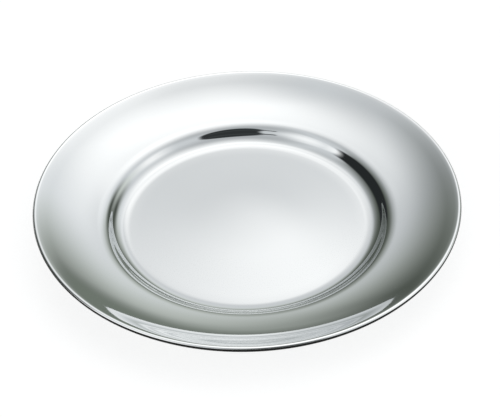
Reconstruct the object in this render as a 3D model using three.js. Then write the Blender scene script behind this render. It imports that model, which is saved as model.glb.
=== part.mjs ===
// A shallow round rice plate pressed from one disc of stainless sheet, with its edge rolled over a core wire.
// Millimetres, +Z up. The origin is the centre of the plate on the surface that it stands on.
import * as THREE from "three";

// Driving dimensions, in millimetres. Radii of bends are those of the sheet's upper face.
const OUTER_DIAMETER = 230;
const SHEET_THICKNESS = 0.6;
const WELL_DIAMETER = 127.4; // where the sheet begins to turn up
const WELL_CROWN = 0.5; // rise of the well's middle, which keeps the plate from rocking
const STANDING_RING_WIDTH = 7;
const EDGE_RADIUS = 29; // gentle turn at the edge of the well
const FOOT_RADIUS = 8.2;
const RISE_RADIUS = 12.9; // the tight foot opens into this curve
const STEP_LENGTH = 0.7; // straight run at the steepest slope
const SHOULDER_RADIUS = 10.7;
const EASE_RADIUS = 19.5; // the tight shoulder opens into this curve
const LIP_WIDTH = 5.4; // from the flange's steepest ring to the rolled rim
const WIRE_DIAMETER = 1.2;
const WIRE_CLEARANCE = 0.1;
const WIRE_END_GAP = 0.5; // between the butted ends of the wire
const CURL_GAP = 0.35; // between the rolled edge and the underside of the flange

// Driving slopes, in degrees above the table.
const EDGE_SLOPE = 8.5; // where the edge of the well passes into the foot
const FOOT_SLOPE = 23; // where the foot passes into the rise
const STEP_SLOPE = 48;
const SHOULDER_SLOPE = 20.5; // where the shoulder begins to ease
const FLANGE_INNER_SLOPE = 11.5;
const FLANGE_OUTER_SLOPE = 28.5;
const LIP_SLOPE = 26.2; // where the flange meets the rolled rim

// How finely the round surfaces are cut into facets.
const TURN_FACETS = 72;
const CROWN_FACETS = 2;
const EDGE_FACETS = 2;
const FOOT_FACETS = 2;
const RISE_FACETS = 4;
const SHOULDER_FACETS = 4;
const EASE_FACETS = 2;
const FLANGE_FACETS = 6;
const LIP_FACETS = 1;
const BEAD_CREST_FACETS = 1;
const BEAD_SIDE_FACETS = 3;
const BEAD_UNDER_FACETS = 6;
const WIRE_HALF_SIDES = 4;

const POLISHED_STEEL = { color: 0xd6d9da, roughness: 0.08, metalness: 1 };
const DRAWN_WIRE = { color: 0xa9adb0, roughness: 0.35, metalness: 1 };

const outerRadius = OUTER_DIAMETER / 2;
const wireRadius = WIRE_DIAMETER / 2;
const beadRadius = wireRadius + WIRE_CLEARANCE + SHEET_THICKNESS;
const beadCentreRadius = outerRadius - beadRadius;

const edgeSlope = THREE.MathUtils.degToRad(EDGE_SLOPE);
const footSlope = THREE.MathUtils.degToRad(FOOT_SLOPE);
const stepSlope = THREE.MathUtils.degToRad(STEP_SLOPE);
const shoulderSlope = THREE.MathUtils.degToRad(SHOULDER_SLOPE);
const flangeInnerSlope = THREE.MathUtils.degToRad(FLANGE_INNER_SLOPE);
const flangeOuterSlope = THREE.MathUtils.degToRad(FLANGE_OUTER_SLOPE);
const lipSlope = THREE.MathUtils.degToRad(LIP_SLOPE);

// The upper face of the sheet in section, drawn from the axis outwards. Every run starts along the last one's
// heading, so the face has no kink, and the lower face is the same line one thickness away.
class SheetFace {
  constructor(radius, height) {
    this.end = new THREE.Vector2(radius, height);
    this.heading = 0;
    this.stations = [];
    this.mark();
  }

  mark() {
    this.stations.push({ point: this.end.clone(), heading: this.heading });
  }

  straight(length) {
    this.end.x += length * Math.cos(this.heading);
    this.end.y += length * Math.sin(this.heading);
    this.mark();
    return this;
  }

  // An arc that ends at the given heading. It curves upwards where that is steeper, and downwards otherwise.
  bend(radius, finalHeading, facets) {
    const startHeading = this.heading;
    const side = Math.sign(finalHeading - startHeading);
    const centre = new THREE.Vector2(
      this.end.x - side * radius * Math.sin(startHeading),
      this.end.y + side * radius * Math.cos(startHeading),
    );
    for (let i = 1; i <= facets; i++) {
      this.heading = THREE.MathUtils.lerp(startHeading, finalHeading, i / facets);
      this.end.set(
        centre.x + side * radius * Math.sin(this.heading),
        centre.y - side * radius * Math.cos(this.heading),
      );
      this.mark();
    }
    return this;
  }

  // An arc that ends at the given heading and distance from the axis.
  bendTo(endRadius, finalHeading, facets) {
    const sineChange = Math.sin(finalHeading) - Math.sin(this.heading);
    return this.bend(Math.abs((endRadius - this.end.x) / sineChange), finalHeading, facets);
  }

  // The line one thickness below the face.
  below(thickness) {
    return this.stations.map(
      ({ point, heading }) =>
        new THREE.Vector2(
          point.x + thickness * Math.sin(heading),
          point.y - thickness * Math.cos(heading),
        ),
    );
  }

  points() {
    return this.stations.map(({ point }) => point);
  }
}

// From the crowned well over the step and the flange to the edge of the sheet inside the rim.
function upperFace() {
  const crownWidth = WELL_DIAMETER / 2 - STANDING_RING_WIDTH;
  const crownSlope = 2 * Math.atan(WELL_CROWN / crownWidth);
  const crownRadius = crownWidth / (2 * Math.sin(crownSlope));

  const rimRadius = beadCentreRadius - beadRadius * Math.sin(lipSlope); // where the roll begins

  const face = new SheetFace(0, SHEET_THICKNESS + WELL_CROWN)
    .bend(crownRadius, -crownSlope, CROWN_FACETS)
    .bend(crownRadius, 0, CROWN_FACETS)
    .straight(STANDING_RING_WIDTH)
    .bend(EDGE_RADIUS, edgeSlope, EDGE_FACETS)
    .bend(FOOT_RADIUS, footSlope, FOOT_FACETS)
    .bend(RISE_RADIUS, stepSlope, RISE_FACETS)
    .straight(STEP_LENGTH)
    .bend(SHOULDER_RADIUS, shoulderSlope, SHOULDER_FACETS)
    .bend(EASE_RADIUS, flangeInnerSlope, EASE_FACETS)
    .bendTo(rimRadius - LIP_WIDTH, flangeOuterSlope, FLANGE_FACETS)
    .bendTo(rimRadius, lipSlope, LIP_FACETS);

  const beadCentreHeight = face.end.y - beadRadius * Math.cos(lipSlope);
  const curlTurn = 2 * Math.PI - Math.acos((beadRadius - SHEET_THICKNESS - CURL_GAP) / beadRadius);
  face
    .bend(beadRadius, 0, BEAD_CREST_FACETS)
    .bend(beadRadius, -Math.PI / 2, BEAD_SIDE_FACETS)
    .bend(beadRadius, lipSlope - curlTurn, BEAD_UNDER_FACETS);
  return { face, beadCentreHeight };
}

// Turns a section, given as radius and height, once round the vertical axis.
function turned(section) {
  return new THREE.LatheGeometry(section, TURN_FACETS).rotateX(Math.PI / 2);
}

// The wire's centre line: a level ring left open between its two butted ends, at the back.
class OpenRing extends THREE.Curve {
  constructor(radius, gap) {
    super();
    this.radius = radius;
    this.halfGap = gap / 2 / radius;
  }

  getPoint(t, target = new THREE.Vector3()) {
    const angle = Math.PI / 2 + THREE.MathUtils.lerp(this.halfGap, 2 * Math.PI - this.halfGap, t);
    return target.set(this.radius * Math.cos(angle), this.radius * Math.sin(angle), 0);
  }
}

function pressedPlate(face) {
  const section = [...face.below(SHEET_THICKNESS), ...face.points().reverse()];
  const plate = new THREE.Mesh(turned(section), new THREE.MeshStandardMaterial(POLISHED_STEEL));
  plate.name = "pressed_plate";
  return plate;
}

function rimWire(centreHeight) {
  const section = new THREE.Shape().absarc(0, 0, wireRadius, 0, 2 * Math.PI);
  const geometry = new THREE.ExtrudeGeometry(section, {
    curveSegments: WIRE_HALF_SIDES,
    steps: TURN_FACETS,
    extrudePath: new OpenRing(beadCentreRadius, WIRE_END_GAP),
  });
  const wire = new THREE.Mesh(geometry, new THREE.MeshStandardMaterial(DRAWN_WIRE));
  wire.name = "rim_wire";
  wire.position.z = centreHeight;
  return wire;
}

const { face, beadCentreHeight } = upperFace();
const ricePlate = new THREE.Group();
ricePlate.add(pressedPlate(face), rimWire(beadCentreHeight));

export default ricePlate;
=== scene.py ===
import bpy
import math
from mathutils import Matrix, Vector


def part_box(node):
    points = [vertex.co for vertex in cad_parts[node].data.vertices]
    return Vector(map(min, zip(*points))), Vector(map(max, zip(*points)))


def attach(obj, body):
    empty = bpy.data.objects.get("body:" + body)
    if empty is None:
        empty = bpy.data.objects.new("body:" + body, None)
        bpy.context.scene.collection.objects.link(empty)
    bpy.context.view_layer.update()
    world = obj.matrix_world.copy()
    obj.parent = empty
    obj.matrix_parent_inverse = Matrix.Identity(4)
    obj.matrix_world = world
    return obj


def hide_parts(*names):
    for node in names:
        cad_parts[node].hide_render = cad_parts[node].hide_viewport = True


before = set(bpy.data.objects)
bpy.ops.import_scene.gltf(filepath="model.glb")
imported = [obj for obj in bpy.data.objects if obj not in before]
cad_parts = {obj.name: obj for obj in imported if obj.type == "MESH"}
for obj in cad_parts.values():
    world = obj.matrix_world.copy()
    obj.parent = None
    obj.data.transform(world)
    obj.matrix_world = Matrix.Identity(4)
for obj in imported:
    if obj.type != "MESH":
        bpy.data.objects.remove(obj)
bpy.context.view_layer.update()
print("frame loaded:", sorted(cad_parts))

mm = 0.001
mergeDistance = 0.001 * mm
roundedAngle = math.radians(60)   # sharper edges than this are rounded
smoothAngle = math.radians(45)


def clearSelection():
    if bpy.context.object and bpy.context.object.mode != "OBJECT":
        bpy.ops.object.mode_set(mode="OBJECT")
    bpy.ops.object.select_all(action="DESELECT")


# short ways to add shader nodes

def addNode(tree, kind, inputs=None, **settings):
    node = tree.nodes.new(kind)
    for name, value in settings.items():
        setattr(node, name, value)
    for socket, value in (inputs or {}).items():
        if isinstance(value, bpy.types.NodeSocket):
            tree.links.new(value, node.inputs[socket])
        else:
            node.inputs[socket].default_value = value
    return node


def mathNode(tree, operation, a, b=0.0, c=0.0):
    return addNode(tree, "ShaderNodeMath", {0: a, 1: b, 2: c}, operation=operation).outputs[0]


def dotNode(tree, a, b):
    return addNode(tree, "ShaderNodeVectorMath", {0: a, 1: b}, operation="DOT_PRODUCT").outputs["Value"]


def fadeNode(tree, value, start, end, low=0.0, high=1.0):   # eased from low at start to high at end
    ends = {"Value": value, "From Min": start, "From Max": end, "To Min": low, "To Max": high}
    return addNode(tree, "ShaderNodeMapRange", ends, interpolation_type="SMOOTHSTEP").outputs["Result"]


def noiseNode(tree, place, scale, detail=3.0):
    inputs = {"Vector": place, "Scale": scale, "Detail": detail}
    return addNode(tree, "ShaderNodeTexNoise", inputs).outputs["Fac"]


def bumpNode(tree, height, depth):
    inputs = {"Height": height, "Strength": 1.0, "Distance": depth}
    return addNode(tree, "ShaderNodeBump", inputs).outputs[0]


def mixColour(tree, share, a, b):
    return addNode(tree, "ShaderNodeMix", {"Factor": share, 6: a, 7: b}, data_type="RGBA").outputs[2]


def mixNumber(tree, share, a, b):
    return addNode(tree, "ShaderNodeMix", {"Factor": share, 2: a, 3: b}, data_type="FLOAT").outputs[0]


def newMaterial(name):
    material = bpy.data.materials.new(name)
    material.use_nodes = True
    tree = material.node_tree
    tree.nodes.clear()
    shader = addNode(tree, "ShaderNodeBsdfPrincipled")
    output = addNode(tree, "ShaderNodeOutputMaterial")
    tree.links.new(shader.outputs["BSDF"], output.inputs["Surface"])
    return material, tree, shader


def platePlace(tree):   # object position, distance from the axis, height
    place = addNode(tree, "ShaderNodeTexCoord").outputs["Object"]
    level = addNode(tree, "ShaderNodeVectorMath", {0: place, 1: (1, 1, 0)}, operation="MULTIPLY").outputs[0]
    radius = addNode(tree, "ShaderNodeVectorMath", {0: level}, operation="LENGTH").outputs["Value"]
    height = addNode(tree, "ShaderNodeSeparateXYZ", {0: place}).outputs["Z"]
    return place, radius, height


def turnRoundAxis(tree, place):
    apart = addNode(tree, "ShaderNodeSeparateXYZ", {0: place})
    return mathNode(tree, "ARCTAN2", apart.outputs["Y"], apart.outputs["X"])


wheelMarks = {
    "driftScale": 35.0,
    "drift": 1.5,   # how far a ring strays, in ring spacings
}


def ringMarks(tree, place, radius, spacing):   # fine rings left by a wheel or a press, a little uneven
    stray = noiseNode(tree, place, wheelMarks["driftScale"])
    drift = mathNode(tree, "MULTIPLY", stray, wheelMarks["drift"])
    track = mathNode(tree, "ADD", mathNode(tree, "DIVIDE", radius, spacing), drift)
    return addNode(tree, "ShaderNodeTexNoise", {"W": track, "Scale": 1.0, "Detail": 3.0},
                   noise_dimensions="1D").outputs["Fac"]


# section of the pressed sheet

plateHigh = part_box("pressed_plate")[1]

sheet = {
    "outerRadius": plateHigh.x,
    "thickness": 0.6 * mm,
    "wellRadius": 63.7 * mm,         # where the sheet begins to turn up
    "wellCrown": 0.5 * mm,
    "standingRing": 7.0 * mm,
    "leadWidth": 5.2 * mm,           # the level ring begins to lift this far inside the edge
    "leadPast": 0.3 * mm,            # and lifts in one wide curve to this far past it
    "leadRadius": 320.0 * mm,
    "edgeRadius": 29.0 * mm,
    "footRadius": 8.2 * mm,
    "riseRadius": 12.9 * mm,
    "stepLength": 0.7 * mm,
    "shoulderRadius": 10.7 * mm,
    "easeRadius": 19.5 * mm,
    "lipWidth": 5.4 * mm,            # flange's steepest ring to the roll
    "edgeSlope": math.radians(8.5),
    "footSlope": math.radians(23),
    "stepSlope": math.radians(48),
    "shoulderSlope": math.radians(20.5),
    "flangeInnerSlope": math.radians(11.5),
    "flangeOuterSlope": math.radians(28.5),
    "lipSlope": math.radians(26.2),
    "curlGap": 0.35 * mm,            # rolled edge to the underside of the flange
    "turnSteps": 288,
    "crownSteps": 6,
    "leadStep": math.radians(0.2),   # heading change between stations, here and below
    "edgeStep": math.radians(0.85),
    "riseStep": math.radians(1.3),
    "flangeStep": math.radians(0.85),
    "beadStep": math.radians(11),
    "edgeRound": 0.12 * mm,
    "edgeSegments": 3,
}
wire = {
    "radius": 0.6 * mm,
    "clearance": 0.1 * mm,
    "endGap": 0.5 * mm,
    "endRound": 0.12 * mm,
    "endSegments": 2,
    "sides": 16,
    "turnSteps": 288,
}
beadRadius = wire["radius"] + wire["clearance"] + sheet["thickness"]
beadRing = sheet["outerRadius"] - beadRadius


def drawBend(stations, radius, finalHeading, stepSize):
    r, z, startHeading = stations[-1]
    side = 1 if finalHeading > startHeading else -1
    centreR = r - side * radius * math.sin(startHeading)
    centreZ = z + side * radius * math.cos(startHeading)
    steps = max(1, round(abs(finalHeading - startHeading) / stepSize))
    for i in range(1, steps + 1):
        heading = startHeading + (finalHeading - startHeading) * i / steps
        stations.append((centreR + side * radius * math.sin(heading),
                         centreZ - side * radius * math.cos(heading), heading))


def drawBendTo(stations, endRadius, finalHeading, stepSize):
    sineChange = math.sin(finalHeading) - math.sin(stations[-1][2])
    drawBend(stations, abs((endRadius - stations[-1][0]) / sineChange), finalHeading, stepSize)


def drawUpperFace():
    s = sheet
    crownWidth = s["wellRadius"] - s["standingRing"]
    crownSlope = 2 * math.atan(s["wellCrown"] / crownWidth)
    crownRadius = crownWidth / (2 * math.sin(crownSlope))
    stations = [(0.0, s["thickness"] + s["wellCrown"], 0.0)]
    drawBend(stations, crownRadius, -crownSlope, crownSlope / s["crownSteps"])
    drawBend(stations, crownRadius, 0.0, crownSlope / s["crownSteps"])
    stations.append((s["wellRadius"] - s["leadWidth"], s["thickness"], 0.0))
    leadSlope = math.asin((s["leadWidth"] + s["leadPast"]) / s["leadRadius"])
    drawBend(stations, s["leadRadius"], leadSlope, s["leadStep"])
    edgeEnd = s["wellRadius"] + s["edgeRadius"] * math.sin(s["edgeSlope"])
    drawBendTo(stations, edgeEnd, s["edgeSlope"], s["edgeStep"])
    edgeRise = s["edgeRadius"] * (1 - math.cos(s["edgeSlope"]))   # of the edge alone
    lift = stations[-1][1] - s["thickness"] - edgeRise            # what the lead-in adds
    drawBend(stations, s["footRadius"], s["footSlope"], s["riseStep"])
    drawBend(stations, s["riseRadius"], s["stepSlope"], s["riseStep"])
    r, z, heading = stations[-1]
    # the step is shorter by the lift, so the rim stays at its height
    flangePitch = math.tan((s["flangeInnerSlope"] + s["flangeOuterSlope"]) / 2)
    length = s["stepLength"] - lift / (math.sin(heading) - math.cos(heading) * flangePitch)
    stations.append((r + length * math.cos(heading), z + length * math.sin(heading), heading))
    drawBend(stations, s["shoulderRadius"], s["shoulderSlope"], s["riseStep"])
    drawBend(stations, s["easeRadius"], s["flangeInnerSlope"], s["riseStep"])
    rimRadius = beadRing - beadRadius * math.sin(s["lipSlope"])
    drawBendTo(stations, rimRadius - s["lipWidth"], s["flangeOuterSlope"], s["flangeStep"])
    drawBendTo(stations, rimRadius, s["lipSlope"], s["flangeStep"])
    beadHeight = stations[-1][1] - beadRadius * math.cos(s["lipSlope"])
    openShare = (beadRadius - s["thickness"] - s["curlGap"]) / beadRadius
    curlEnd = s["lipSlope"] - 2 * math.pi + math.acos(openShare)
    for heading in (0.0, -math.pi / 2, curlEnd):   # over the crest, down the outside, back in underneath
        drawBend(stations, beadRadius, heading, s["beadStep"])
    return stations, beadHeight


section, beadHeight = drawUpperFace()
print("section drawn:", len(section), "stations, rim", round((beadHeight + beadRadius) / mm, 2), "mm high")


# finishes

polish = {
    "colour": (0.80, 0.815, 0.818, 1),
    "cloudColour": (0.78, 0.797, 0.80, 1),    # faint clouding left by the buffing wheel
    "cloudScale": 22.0,
    "cloudDetail": 4.0,
    "cloudRoughness": 0.02,
    "paintedHighlightColour": (0.965, 0.975, 0.975, 1),  # painted highlight: the crest of the roll is coloured brighter than the rest
    "paintedHighlightFade": (-0.80, -0.45),              # out from the roll's middle, in its radii
    "flangeRoughness": 0.03,
    "wellRoughness": 0.06,
    "wellFade": (-10 * mm, 2 * mm),           # out from the edge of the well
    "ringSpacing": 0.45 * mm,
    "ringDepth": 0.00015 * mm,
    "waveScale": 55.0,
    "waveDetail": 1.0,
    "waveDepth": 0.003 * mm,
    "paintedReflectionColour": (0.014, 0.015, 0.014, 1),   # painted dark reflection: the outside and underside of the roll are coloured near black
    "paintedReflectionOutwards": (0.35, 0.55),             # out from the roll's middle, in its radii
    "paintedReflectionDownwards": (0.76, 0.54),            # above the roll's middle, in its radii
    "paintedReflectionRoughness": 0.4,
    "grain": 0.45,
}


def makeMirrorSteel():
    p = polish
    material, tree, shader = newMaterial("mirrorSteel")
    place, radius, height = platePlace(tree)
    cloud = noiseNode(tree, place, p["cloudScale"], p["cloudDetail"])
    # painted dark reflection: a near-black, rougher band on the roll's outside and underside
    outside = fadeNode(tree, radius, *(beadRing + share * beadRadius for share in p["paintedReflectionOutwards"]))
    beneath = fadeNode(tree, height, *(beadHeight + share * beadRadius for share in p["paintedReflectionDownwards"]))
    paintedReflection = mathNode(tree, "MULTIPLY", outside, beneath)
    # painted highlight along the crest of the roll
    crest = fadeNode(tree, radius, *(beadRing + share * beadRadius for share in p["paintedHighlightFade"]))
    bright = mixColour(tree, cloud, p["colour"], p["cloudColour"])
    bright = mixColour(tree, crest, bright, p["paintedHighlightColour"])
    tree.links.new(mixColour(tree, paintedReflection, bright, p["paintedReflectionColour"]), shader.inputs["Base Color"])
    fadeStart, fadeEnd = (sheet["wellRadius"] + out for out in p["wellFade"])
    smooth = fadeNode(tree, radius, fadeStart, fadeEnd, p["wellRoughness"], p["flangeRoughness"])
    clouded = mathNode(tree, "MULTIPLY_ADD", cloud, p["cloudRoughness"], smooth)
    tree.links.new(mixNumber(tree, paintedReflection, clouded, p["paintedReflectionRoughness"]), shader.inputs["Roughness"])
    waves = bumpNode(tree, noiseNode(tree, place, p["waveScale"], p["waveDetail"]), p["waveDepth"])
    rings = bumpNode(tree, ringMarks(tree, place, radius, p["ringSpacing"]), p["ringDepth"])
    tree.links.new(waves, rings.node.inputs["Normal"])
    tree.links.new(rings, shader.inputs["Normal"])
    around = addNode(tree, "ShaderNodeTangent", direction_type="RADIAL", axis="Z")
    tree.links.new(around.outputs[0], shader.inputs["Tangent"])
    shader.inputs["Metallic"].default_value = 1.0
    shader.inputs["Anisotropic"].default_value = p["grain"]
    return material


underside = {
    "colour": (0.60, 0.615, 0.615, 1),
    "drawColour": (0.50, 0.515, 0.515, 1),   # darker rings drawn by the press
    "roughness": (0.20, 0.34),
    "cloudScale": 40.0,
    "cloudDetail": 5.0,
    "cloudRange": (0.3, 0.7),
    "ringSpacing": 0.8 * mm,
    "ringDepth": 0.0015 * mm,
}


def makeUndersideSteel():
    u = underside
    material, tree, shader = newMaterial("undersideSteel")
    place, radius, _ = platePlace(tree)
    rings = ringMarks(tree, place, radius, u["ringSpacing"])
    cloud = noiseNode(tree, place, u["cloudScale"], u["cloudDetail"])
    tree.links.new(mixColour(tree, rings, u["colour"], u["drawColour"]), shader.inputs["Base Color"])
    tree.links.new(fadeNode(tree, cloud, *u["cloudRange"], *u["roughness"]), shader.inputs["Roughness"])
    tree.links.new(bumpNode(tree, rings, u["ringDepth"]), shader.inputs["Normal"])
    shader.inputs["Metallic"].default_value = 1.0
    return material


drawn = {
    "colour": (0.60, 0.61, 0.62, 1),
    "streakColour": (0.46, 0.47, 0.48, 1),
    "roughness": (0.28, 0.42),
    "streakRange": (0.3, 0.7),
    "scaleAlong": 6.0,
    "scaleAcross": 9000.0,
    "streakDetail": 2.0,
    "streakDepth": 0.002 * mm,
}


def makeDrawnWire():
    d = drawn
    material, tree, shader = newMaterial("drawnWire")
    place, radius, height = platePlace(tree)
    along = mathNode(tree, "MULTIPLY", turnRoundAxis(tree, place), d["scaleAlong"])
    outwards = mathNode(tree, "MULTIPLY", radius, d["scaleAcross"])
    upwards = mathNode(tree, "MULTIPLY", height, d["scaleAcross"])
    wirePlace = addNode(tree, "ShaderNodeCombineXYZ", {0: along, 1: outwards, 2: upwards}).outputs[0]
    streaks = noiseNode(tree, wirePlace, 1.0, d["streakDetail"])   # die marks run along the wire
    tree.links.new(mixColour(tree, streaks, d["colour"], d["streakColour"]), shader.inputs["Base Color"])
    tree.links.new(fadeNode(tree, streaks, *d["streakRange"], *d["roughness"]), shader.inputs["Roughness"])
    tree.links.new(bumpNode(tree, streaks, d["streakDepth"]), shader.inputs["Normal"])
    shader.inputs["Metallic"].default_value = 1.0
    return material


mirrorSteel = makeMirrorSteel()
undersideSteel = makeUndersideSteel()
drawnWire = makeDrawnWire()
print("finishes made")


# pieces

def makePressedPlate():
    s = sheet
    clearSelection()
    bpy.ops.mesh.primitive_plane_add(size=mm)
    plate = bpy.context.object
    plate.name = "pressedSheet"
    bpy.ops.object.mode_set(mode="EDIT")
    bpy.ops.mesh.merge(type="CENTER")        # one point on the axis, drawn out along the section
    bpy.ops.transform.translate(value=(0, 0, section[0][1]))
    for last, point in zip(section, section[1:]):
        step = (point[0] - last[0], 0, point[1] - last[1])
        bpy.ops.mesh.extrude_region_move(TRANSFORM_OT_translate={"value": step})
    bpy.ops.mesh.select_all(action="SELECT")
    bpy.ops.mesh.spin(steps=s["turnSteps"], angle=2 * math.pi, center=(0, 0, 0), axis=(0, 0, 1))
    bpy.ops.mesh.select_all(action="SELECT")
    bpy.ops.mesh.remove_doubles(threshold=mergeDistance)
    bpy.ops.mesh.normals_make_consistent(inside=False)
    bpy.ops.object.mode_set(mode="OBJECT")
    middle = min(plate.data.polygons, key=lambda face: face.center.xy.length)
    if middle.normal.z < 0:
        plate.data.flip_normals()
    plate.data.materials.append(mirrorSteel)
    plate.data.materials.append(undersideSteel)
    wall = plate.modifiers.new("wall", "SOLIDIFY")
    wall.thickness = s["thickness"]
    wall.offset = -1
    wall.use_even_offset = True
    wall.material_offset = 1
    wall.material_offset_rim = 1
    bpy.ops.object.modifier_apply(modifier=wall.name)
    edge = plate.modifiers.new("rawEdge", "BEVEL")
    edge.width = s["edgeRound"]
    edge.segments = s["edgeSegments"]
    edge.limit_method = "ANGLE"
    edge.angle_limit = roundedAngle
    bpy.ops.object.modifier_apply(modifier=edge.name)
    bpy.ops.object.shade_smooth_by_angle(angle=smoothAngle)
    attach(plate, "root")
    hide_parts("pressed_plate")
    print("pressed plate:", len(plate.data.polygons), "faces")


def makeRimWire():
    s = wire
    clearSelection()
    bpy.ops.mesh.primitive_circle_add(vertices=s["sides"], radius=s["radius"], fill_type="NGON",
                                      location=(beadRing, 0, beadHeight), rotation=(math.pi / 2, 0, 0))
    ring = bpy.context.object
    ring.name = "rimCoreWire"
    gapTurn = s["endGap"] / beadRing
    bpy.ops.object.transform_apply(location=True, rotation=True, scale=True)
    bpy.ops.object.mode_set(mode="EDIT")
    bpy.ops.mesh.select_all(action="SELECT")
    bpy.ops.mesh.spin(steps=s["turnSteps"], angle=2 * math.pi - gapTurn, center=(0, 0, 0), axis=(0, 0, 1))
    bpy.ops.mesh.select_all(action="SELECT")
    bpy.ops.mesh.normals_make_consistent(inside=False)
    bpy.ops.object.mode_set(mode="OBJECT")
    ring.data.materials.append(drawnWire)
    ends = ring.modifiers.new("ends", "BEVEL")
    ends.width = s["endRound"]
    ends.segments = s["endSegments"]
    ends.limit_method = "ANGLE"
    ends.angle_limit = roundedAngle
    bpy.ops.object.modifier_apply(modifier=ends.name)
    ring.rotation_euler = (0, 0, math.pi / 2)   # the butted ends lie at the back
    bpy.ops.object.transform_apply(location=True, rotation=True, scale=True)
    bpy.ops.object.shade_smooth_by_angle(angle=smoothAngle)
    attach(ring, "root")
    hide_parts("rim_wire")
    print("rim wire:", len(ring.data.polygons), "faces")


makePressedPlate()
makeRimWire()


# floor, studio light and camera

floor = {
    "size": 40.0,
    "colour": (0.40, 0.40, 0.40, 1),
    "lift": 0.75,   # added to the lit floor where it is seen, so that it shows white and keeps the shadow
}


def makeFloor():
    clearSelection()
    bpy.ops.mesh.primitive_plane_add(size=floor["size"])
    ground = bpy.context.object
    ground.name = "studioFloor"
    material = bpy.data.materials.new("paleFloor")
    material.use_nodes = True
    tree = material.node_tree
    tree.nodes.clear()
    matt = addNode(tree, "ShaderNodeBsdfDiffuse", {"Color": floor["colour"]})
    path = addNode(tree, "ShaderNodeLightPath")
    seen = mathNode(tree, "ADD", path.outputs["Is Camera Ray"], path.outputs["Is Glossy Ray"])
    seen = mathNode(tree, "ADD", seen, path.outputs["Is Transmission Ray"])
    glow = addNode(tree, "ShaderNodeEmission", {"Strength": mathNode(tree, "MULTIPLY", seen, floor["lift"])})
    both = addNode(tree, "ShaderNodeAddShader", {0: matt.outputs[0], 1: glow.outputs[0]})
    output = addNode(tree, "ShaderNodeOutputMaterial")
    tree.links.new(both.outputs[0], output.inputs["Surface"])
    ground.data.materials.append(material)


plain = (1, 1, 1)
paleBlue = (0.965, 1.0, 1.03)
paleGreen = (0.955, 1.0, 0.985)
paleOlive = (0.945, 1.0, 0.945)
olive = (0.87, 1.0, 0.85)
slate = (0.88, 1.0, 1.03)

# the studio's gradient: degrees above the floor, brightness, tint
studioHeights = [
    (0, 0.15, paleOlive), (8, 0.80, paleOlive), (16, 0.85, paleOlive), (25, 0.83, paleGreen),
    (35, 0.78, paleBlue), (45, 0.72, paleBlue), (60, 0.58, paleBlue), (75, 0.50, paleBlue),
]
zenith = 90   # degrees

# softboxes, dark gaps between them and the dim room behind. Turn from the back towards the right, height of
# the middle and roll are in degrees; half size and the softness of the edges are shares of the distance
lamps = {
    "backSoftbox": {"turn": 20, "height": 65, "roll": -40, "half": (0.45, 0.40), "soft": (0.35, 0.50),
                    "brightness": 1.35, "tint": plain},
    "leftFill": {"turn": 240, "height": 23, "roll": 40, "half": (0.50, 0.45), "soft": (0.10, 0.35),
                 "brightness": 1.3, "tint": plain},
    "rightShade": {"turn": 44, "height": 14, "roll": -50, "half": (0.15, 0.35), "soft": (0.15, 0.30),
                   "brightness": 0.08, "tint": olive},
    "leftSoftbox": {"turn": 260, "height": 55, "roll": -20, "half": (0.10, 0.50), "soft": (0.30, 0.30),
                    "brightness": 0.8, "tint": paleBlue},
    "rightSoftbox": {"turn": 95, "height": 33, "roll": -45, "half": (0.15, 0.20), "soft": (0.20, 0.20),
                     "brightness": 1.15, "tint": plain},
    "lowBackLeft": {"turn": 312, "height": 5, "roll": -25, "half": (0.90, 0.75), "soft": (0.20, 0.50),
                    "brightness": 0.1, "tint": olive},
    "lowBackRight": {"turn": 28, "height": -5, "roll": -30, "half": (0.55, 0.35), "soft": (0.30, 0.42),
                     "brightness": 0.11, "tint": olive},
    "backDim": {"turn": 358, "height": 40, "roll": 0, "half": (0.12, 0.12), "soft": (0.20, 0.25),
                "brightness": 0.57, "tint": paleBlue},
    "backGlow": {"turn": 3, "height": 47, "roll": 40, "half": (0.10, 0.10), "soft": (0.15, 0.05),
                 "brightness": 1.25, "tint": plain},
    "ringGlow": {"turn": 0, "height": 52, "roll": 0, "half": (0.05, 0.05), "soft": (0.05, 0.05),
                 "brightness": 1.3, "tint": plain},
    "leftGap": {"turn": 298, "height": 22, "roll": -35, "half": (0.60, 0.19), "soft": (0.10, 0.07),
                "brightness": 0.025, "tint": slate},
    "cameraGap": {"turn": 166, "height": 50, "roll": 30, "half": (0.37, 0.28), "rim": 0.13,
                  "brightness": 0.04, "tint": slate},   # a round one; its soft rim is a share of its size
    "cameraArm": {"turn": 177, "height": 55, "roll": 5, "half": (0.37, 0.035), "soft": (0.02, 0.02),
                  "brightness": 0.06, "tint": slate},
    "lowBack": {"turn": 13, "height": 3, "roll": 0, "half": (0.20, 0.12), "soft": (0.20, 0.10),
                "brightness": 0.22, "tint": olive},
}
lampEdgeOn = 0.05   # directions nearer to edge-on than this miss a lamp


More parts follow.
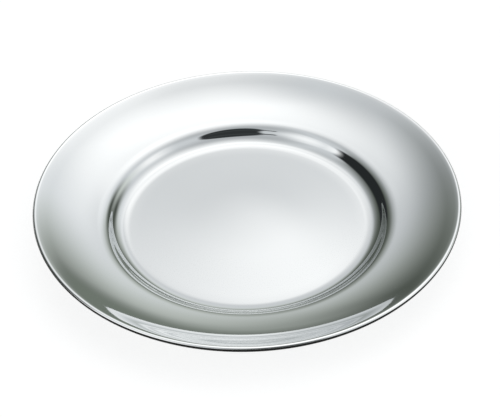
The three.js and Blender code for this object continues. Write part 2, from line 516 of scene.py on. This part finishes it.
def addLamp(tree, direction, colour, lamp):
    turn, height, roll = (math.radians(lamp[name]) for name in ("turn", "height", "roll"))
    ahead = Vector((math.sin(turn) * math.cos(height), math.cos(turn) * math.cos(height), math.sin(height)))
    across = Vector((math.cos(turn), -math.sin(turn), 0))
    upward = across.cross(ahead)
    tilt = Matrix.Rotation(-roll, 3, ahead)
    across, upward = tilt @ across, tilt @ upward
    depth = dotNode(tree, direction, ahead)
    mask = mathNode(tree, "GREATER_THAN", depth, lampEdgeOn)
    depth = mathNode(tree, "MAXIMUM", depth, lampEdgeOn)
    sides = [mathNode(tree, "DIVIDE", dotNode(tree, direction, axis), depth) for axis in (across, upward)]
    if "rim" in lamp:
        shares = [mathNode(tree, "DIVIDE", side, half) for side, half in zip(sides, lamp["half"])]
        flat = addNode(tree, "ShaderNodeCombineXYZ", {0: shares[0], 1: shares[1]}).outputs[0]
        spread = addNode(tree, "ShaderNodeVectorMath", {0: flat}, operation="LENGTH").outputs["Value"]
        edges = [fadeNode(tree, spread, 1 - lamp["rim"], 1 + lamp["rim"], 1.0, 0.0)]
    else:
        edges = [fadeNode(tree, mathNode(tree, "ABSOLUTE", side), half - soft, half + soft, 1.0, 0.0)
                 for side, half, soft in zip(sides, lamp["half"], lamp["soft"])]
    for edge in edges:
        mask = mathNode(tree, "MULTIPLY", mask, edge)
    return mixColour(tree, mask, colour, (*(lamp["brightness"] * share for share in lamp["tint"]), 1))


def makeStudio():
    world = bpy.data.worlds.new("studio")
    bpy.context.scene.world = world
    world.use_nodes = True
    tree = world.node_tree
    tree.nodes.clear()
    direction = addNode(tree, "ShaderNodeTexCoord").outputs["Generated"]
    level = addNode(tree, "ShaderNodeSeparateXYZ", {0: direction}).outputs["Z"]
    height = mathNode(tree, "DIVIDE", mathNode(tree, "ARCSINE", level), math.pi / 2)
    ramp = addNode(tree, "ShaderNodeValToRGB", {"Fac": height})
    stops = ramp.color_ramp.elements
    while len(stops) > 1:
        stops.remove(stops[-1])
    for i, (degrees, brightness, tint) in enumerate(studioHeights):
        stop = stops[0] if i == 0 else stops.new(degrees / zenith)
        stop.position = degrees / zenith
        stop.color = (*(brightness * share for share in tint), 1)
    colour = ramp.outputs["Color"]
    for lamp in lamps.values():
        colour = addLamp(tree, direction, colour, lamp)
    background = addNode(tree, "ShaderNodeBackground", {"Color": colour, "Strength": 1.0})
    output = addNode(tree, "ShaderNodeOutputWorld")
    tree.links.new(background.outputs[0], output.inputs["Surface"])
    print("studio light:", len(lamps), "lamps and gaps")


view = {
    "over": Vector((0, 0, 5.25 * mm)),
    "distance": 695 * mm,
    "height": math.radians(41.1),   # above the floor
    "roll": math.radians(-1.66),
    "aimAt": Vector((1.61 * mm, 2.09 * mm, 7.645 * mm)),
    "lens": 91.32,
    "sensorWidth": 36.0,
}


def makeCamera():
    towards = Vector((0, -math.cos(view["height"]), math.sin(view["height"])))
    place = view["over"] + view["distance"] * towards
    aim = (view["aimAt"] - place).to_track_quat("-Z", "Y").to_matrix()
    turned = aim @ Matrix.Rotation(view["roll"], 3, "Z")
    bpy.ops.object.camera_add(location=place, rotation=turned.to_euler())
    camera = bpy.context.object
    camera.data.sensor_width = view["sensorWidth"]
    camera.data.lens = view["lens"]
    bpy.context.scene.camera = camera


makeFloor()
makeStudio()
makeCamera()
bpy.context.scene.view_settings.view_transform = "Standard"
print("stage set")
